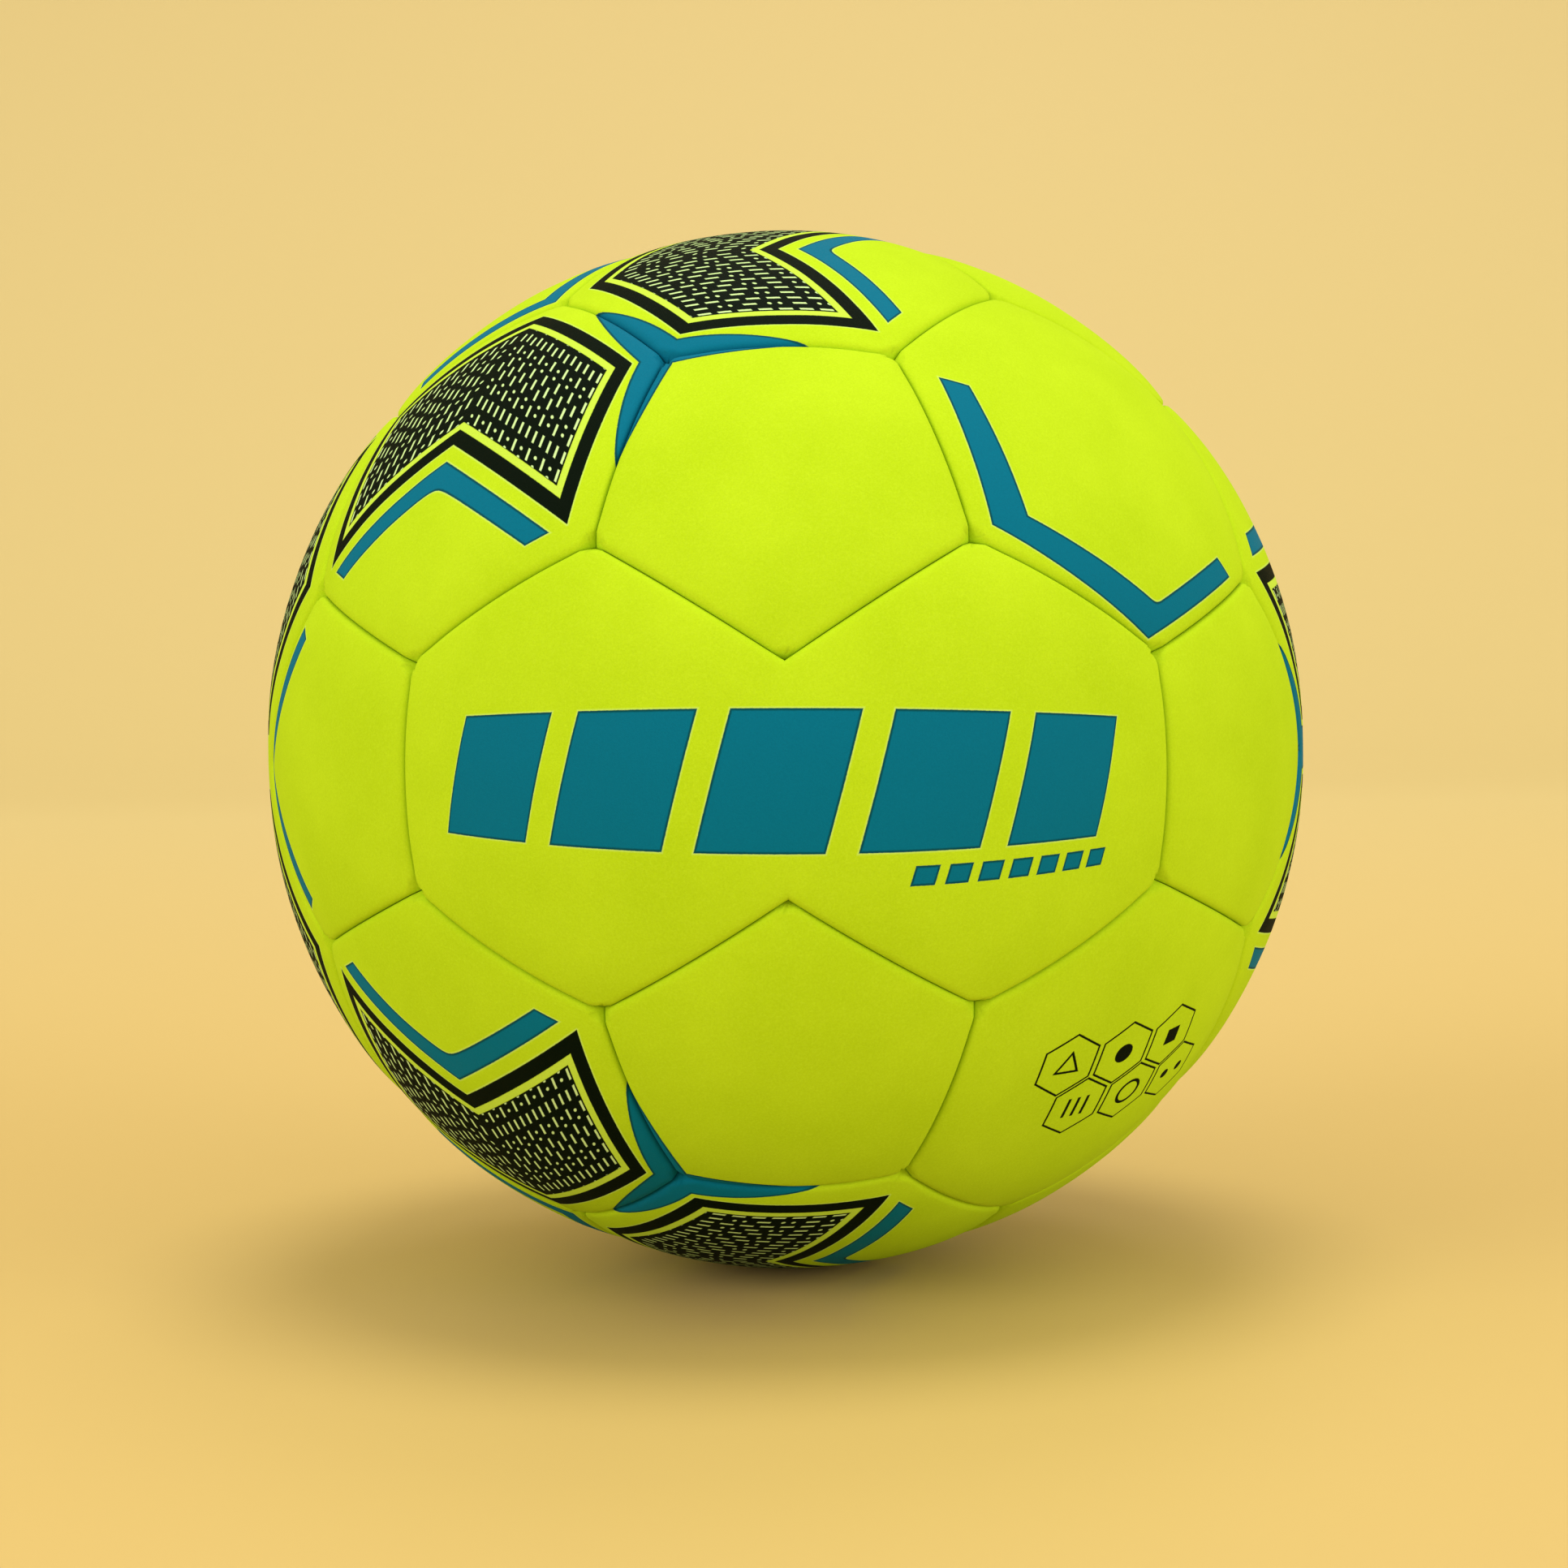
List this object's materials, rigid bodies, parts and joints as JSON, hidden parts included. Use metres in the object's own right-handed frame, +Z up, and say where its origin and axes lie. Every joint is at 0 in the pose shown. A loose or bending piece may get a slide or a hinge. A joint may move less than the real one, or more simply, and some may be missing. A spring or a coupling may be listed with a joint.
{
  "type": "soccer ball",
  "caption": "Inflated soccer ball with a brushed felt cover of stitched pentagon, hexagon and double hexagon panels over a lining, a bladder and a needle valve.",
  "frame": {"origin": "centre of the ball", "axes": "+Z up; -Y towards the front double panel with the printed emblem; +Y out along the valve's axis, through the middle of the back double panel; +X to the right seen from the front"},
  "size_m": [0.22, 0.2199, 0.22],
  "materials": {
    "cover_felt": "matte brushed felt with printed teal and near-black motifs",
    "backing_foam": "matte closed-cell foam",
    "seam_thread": "waxed polyester thread",
    "lining_fabric": "matte woven polyester and cotton",
    "bladder_rubber": "satin butyl rubber",
    "valve_rubber": "satin moulded rubber",
    "valve_core_rubber": "satin soft rubber"
  },
  "bodies": {
    "root": {"double_panel_front": "cover_felt", "double_panel_back": "cover_felt", "double_panel_right": "cover_felt", "double_panel_left": "cover_felt", "double_panel_top": "cover_felt", "double_panel_bottom": "cover_felt", "hexagon_panel_upper_front_left": "cover_felt", "hexagon_panel_upper_front_right": "cover_felt", "hexagon_panel_upper_back_left": "cover_felt", "hexagon_panel_upper_back_right": "cover_felt", "hexagon_panel_lower_front_left": "cover_felt", "hexagon_panel_lower_front_right": "cover_felt", "hexagon_panel_lower_back_left": "cover_felt", "hexagon_panel_lower_back_right": "cover_felt", "pentagon_panel_front_top": "cover_felt", "pentagon_panel_front_bottom": "cover_felt", "pentagon_panel_back_top": "cover_felt", "pentagon_panel_back_bottom": "cover_felt", "pentagon_panel_right_front": "cover_felt", "pentagon_panel_right_back": "cover_felt", "pentagon_panel_left_front": "cover_felt", "pentagon_panel_left_back": "cover_felt", "pentagon_panel_top_right": "cover_felt", "pentagon_panel_top_left": "cover_felt", "pentagon_panel_bottom_right": "cover_felt", "pentagon_panel_bottom_left": "cover_felt", "double_foam_backings": "backing_foam", "hexagon_foam_backings": "backing_foam", "pentagon_foam_backings": "backing_foam", "seam_thread": "seam_thread", "lining": "lining_fabric", "bladder": "bladder_rubber", "valve_body": "valve_rubber", "valve_core": "valve_core_rubber"}
  },
  "joints": []
}
